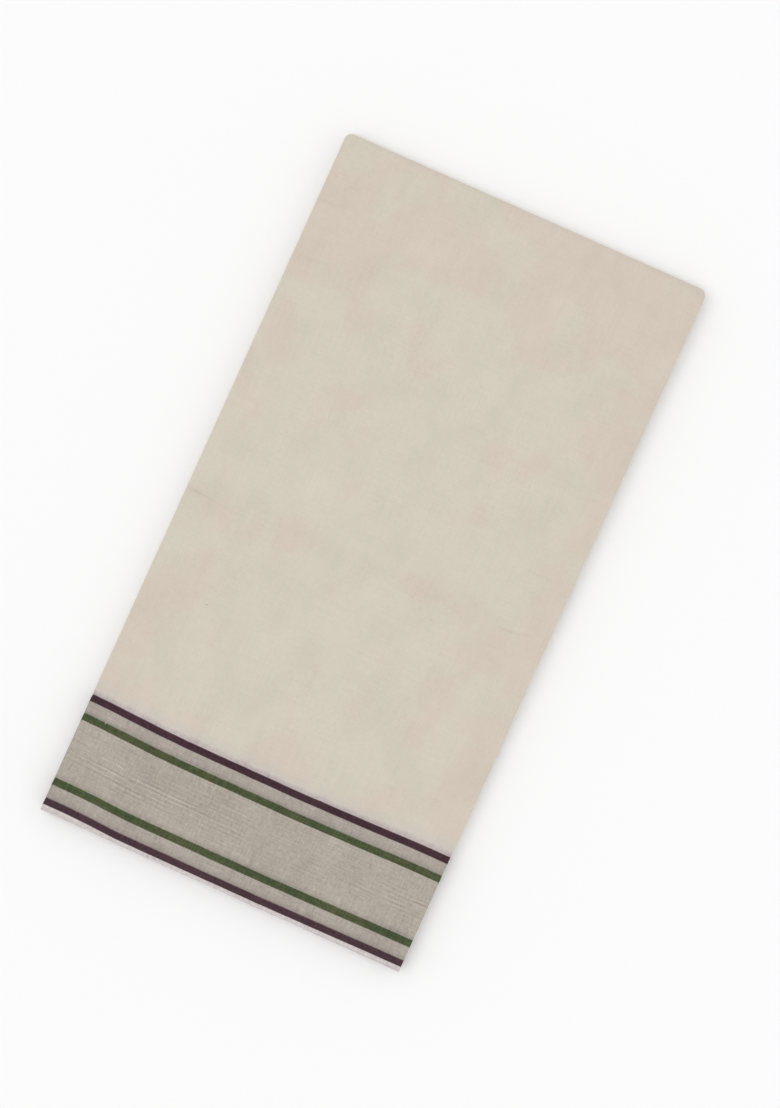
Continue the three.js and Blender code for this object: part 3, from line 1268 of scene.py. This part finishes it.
@dataclass
class Stretch:
    """A stretch of the one cloth, to and fro through some of the plies, made as one piece."""

    pleats: Pleats
    name: str
    stands_for: tuple[str, ...]
    plies: tuple[int, ...]
    heading: Side
    start_x: float
    end_x: float
    run_points: tuple[int, ...]
    turn_points: int = 7
    rows: RowPlan = RowPlan(50, 21, 28, bands=((277.5, 12, 9), (889, 12, 9)))
    slot: str = "inner_cotton"
    rests_on: tuple[str, ...] = ("outer_ply",)
    start_length: float = 0.0
    full_shade: float = 0.2 * MM
    crowd: float = 0.6

    def section(self) -> Section:
        """Works out its path: runs across the panel, joined by turns of half an ellipse each.

        Returns:
            The path, in the order in which the cloth runs.
        """
        pitch, heading, here = self.pleats.form.sizes.pitch, self.heading, self.start_x
        angle = np.linspace(-math.pi / 2, math.pi / 2, self.turn_points + 2)[1:-1]
        xs, layers = [], []
        for ply, following, count in zip(self.plies, self.plies[1:], self.run_points):
            edge = heading.value * self.pleats.turn_start(heading, ply)
            deep = heading.value * abs(following - ply) / 2 * pitch * self.pleats.bulge
            turned = (ply + following) / 2 + (following - ply) / 2 * np.sin(angle)
            xs += [eased(here, edge, count, self.crowd), edge + deep * np.cos(angle)]
            layers += [np.full(count, float(ply)), turned]
            here = heading.value * self.pleats.turn_start(heading, following)
            heading = heading.other()
        count = self.run_points[-1]
        x = np.concatenate([*xs, eased(here, self.end_x, count, self.crowd)])
        layer = np.concatenate([*layers, np.full(count, float(self.plies[-1]))])
        steps = np.hypot(np.diff(x), np.diff(layer) * pitch)
        length = self.start_length + np.concatenate([[0], np.cumsum(steps)])
        return Section(x, layer, length)

    def build(self, material: bpy.types.Material) -> bpy.types.Object:
        """Args:
            material: its cotton.

        Returns:
            The piece.
        """
        form = self.pleats.form
        section = self.section()
        middle, flat = self.pleats.sweep(section, self.rows.places(form.sizes))
        x, y, z = np.moveaxis(middle, -1, 0)
        dents = form.dents(x, y, z > form.sizes.radius, np.zeros(x.shape, bool))
        # Painted shade for the crease attribute: the outer ply's dents, over 0 in troughs and
        # under 0 on ridges.
        shade = dents / self.full_shade * (section.layer[:, None] < 0.5)
        piece = thin_shell(self.name, middle, flat, form.sizes.ply, shade)
        piece.data.materials.append(material)
        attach(piece, "root")
        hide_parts(*self.stands_for)
        return piece


@dataclass(frozen=True)
class FoldedSari:
    """The whole folded sari: the outer ply and the two halves of the pleated cloth."""

    pleats: Pleats
    tail: float = 8 * MM
    seam: float = 0.3 * MM

    def stretches(self) -> tuple[Stretch, Stretch, Stretch]:
        """Lays the stretches end to end along the cloth.

        Returns:
            The first half of the pleats, the outer ply over them, and the second half. The
            outer ply ends in a tail under the left pleat and one under the right.
        """
        half = self.pleats.form.sizes.half_width
        first = Stretch(
            self.pleats,
            "first_half_pleats",
            stands_for=("hidden_layers",),
            plies=(16, 15, 12, 11, 8, 7, 4, 3),
            heading=Side.RIGHT,
            start_x=-self.pleats.turn_start(Side.LEFT, 16),
            end_x=-half + self.tail + self.seam,
            run_points=(11,) * 8,
        )
        outer = Stretch(
            self.pleats,
            "outer_ply",
            stands_for=("top_stretch", "under_stretch"),
            plies=(3, 0, 1),
            heading=Side.LEFT,
            start_x=-half + self.tail,
            end_x=half - self.tail,
            run_points=(8, 144, 8),
            turn_points=9,
            rows=RowPlan(
                leaf=84,
                turn=26,
                under=36,
                bands=(
                    (277.5, 12, 45),
                    (295.7, 5, 10),
                    (324.8, 5, 10),
                    (475.7, 7, 14),
                    (521.1, 7, 14),
                    (889, 12, 25),
                ),
            ),
            slot="outer_cotton",
            rests_on=("first_half_pleats", "second_half_pleats"),
        )
        second = Stretch(
            self.pleats,
            "second_half_pleats",
            stands_for=("second_stretch",),
            plies=(1, 2, 5, 6, 9, 10, 13, 14, 17),
            heading=Side.LEFT,
            start_x=half - self.tail - self.seam,
            end_x=-self.pleats.turn_start(Side.LEFT, 17),
            run_points=(11,) * 9,
        )
        outer.start_length = float(first.section().length[-1]) + self.seam
        second.start_length = float(outer.section().length[-1]) + self.seam
        return first, outer, second

    def build(self, groups: dict[str, Tree]) -> list[bpy.types.Object]:
        """Makes every piece.

        Args:
            groups: the shared node groups by name.

        Returns:
            The pieces.
        """
        sizes = self.pleats.form.sizes
        first, outer, second = self.stretches()
        section = outer.section()
        top_start = float((section.length - section.x)[section.layer == 0][0]) - sizes.half_width
        outer_cotton, inner_cotton = (
            CottonMaterial(finish, groups, sizes.cloth_width, top_start).material
            for finish in (TOP_COTTON, CottonFinish("inner_cotton"))
        )
        return [
            outer.build(outer_cotton),
            first.build(inner_cotton),
            second.build(inner_cotton),
        ]


# The studio


@dataclass(frozen=True)
class Studio:
    """A pale floor, soft light and a camera straight above, turned as the photograph's was."""

    picture_size: tuple[int, int] = (780, 1108)
    object_middle: tuple[float, float] = (373.6, 550.9)
    pixel: float = 0.7748 * MM
    roll: float = math.radians(24.41)
    lens: float = 100.0
    sensor: float = 36.0
    top_height: float = 14 * MM
    floor_color: Color = (251, 251, 251)
    floor_radius: float = 4.0
    floor_rise: float = 0.9
    floor_drop: float = 0.3 * MM
    floor_rings: int = 24
    floor_sides: int = 64
    floor_roughness: float = 0.9
    floor_specular: float = 0.1
    sky_strength: float = 0.76
    lamp_strength: float = 0.78
    lamp_spread: float = math.radians(60)
    lamp_tilt: tuple[float, float, float] = (math.radians(6), math.radians(-16), 0)

    def camera(self) -> None:
        """Adds the camera: its long side of the picture spans that many pixels at the cloth."""
        width, height = self.picture_size
        right = Vector((math.cos(self.roll), math.sin(self.roll), 0))
        up = Vector((-math.sin(self.roll), math.cos(self.roll), 0))
        off_right = (width / 2 - self.object_middle[0]) * self.pixel
        off_down = (height / 2 - self.object_middle[1]) * self.pixel
        data = bpy.data.cameras.new("camera")
        data.lens = self.lens
        data.sensor_width = self.sensor
        camera = add_object("camera", data)
        rise = height * self.pixel * self.lens / self.sensor + self.top_height
        camera.location = off_right * right - off_down * up + Vector((0, 0, rise))
        camera.rotation_euler = (0, 0, self.roll)
        bpy.context.scene.camera = camera

    def floor(self) -> None:
        """Adds the floor: a wide pale disc just below the cloth, rising gently past half way."""
        out = np.linspace(MM, self.floor_radius, self.floor_rings)
        around = np.linspace(0, 2 * math.pi, self.floor_sides, endpoint=False)
        radius, angle = np.meshgrid(out, around)
        height = self.floor_rise * smoothstep(radius, self.floor_radius / 2, self.floor_radius)
        rings = [radius * np.cos(angle), radius * np.sin(angle), height - self.floor_drop]
        points = np.stack(rings, axis=-1).reshape(-1, 3).tolist()
        index = np.arange(radius.size).reshape(radius.shape)
        faces = grid_quads(np.vstack([index, index[:1]]).T).tolist()
        mesh = bpy.data.meshes.new("floor")
        mesh.from_pydata(points, [], [*faces, index[:, 0].tolist()])
        material = bpy.data.materials.new("pale_floor")
        material.use_nodes = True
        inputs = material.node_tree.nodes["Principled BSDF"].inputs
        inputs["Base Color"].default_value = linear(self.floor_color)
        inputs["Roughness"].default_value = self.floor_roughness
        inputs["Specular IOR Level"].default_value = self.floor_specular
        mesh.materials.append(material)
        add_object("floor", mesh)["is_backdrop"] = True

    def lights(self) -> None:
        """Adds an even sky and one broad soft lamp from the picture's upper left."""
        world = bpy.data.worlds.new("soft_sky")
        world.use_nodes = True
        sky = world.node_tree.nodes["Background"]
        sky.inputs["Color"].default_value = (1, 1, 1, 1)
        sky.inputs["Strength"].default_value = self.sky_strength
        bpy.context.scene.world = world
        data = bpy.data.lights.new("broad_lamp", "SUN")
        data.energy = self.lamp_strength
        data.angle = self.lamp_spread
        add_object("broad_lamp", data).rotation_euler = self.lamp_tilt

    def build(self) -> None:
        """Sets up the whole studio."""
        self.camera()
        self.floor()
        self.lights()
        bpy.context.scene.view_settings.view_transform = "Standard"


def main() -> None:
    """Loads the solids, builds the studio and the sari, and reports each piece."""
    logging.basicConfig(level=logging.INFO, format="%(message)s")
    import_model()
    Studio().build()
    groups = {
        "border": BorderGraph().build(),
        "weave": build_weave_group(),
        "yarn": build_yarn_group(),
        "mottle": build_mottle_group(),
        "mark": build_mark_group(),
    }
    sari = FoldedSari(Pleats(FoldedForm(Sizes.from_frame())))
    for piece in sari.build(groups):
        LOG.info("%s: %d faces", piece.name, len(piece.data.polygons))


if __name__ == "__main__":
    main()
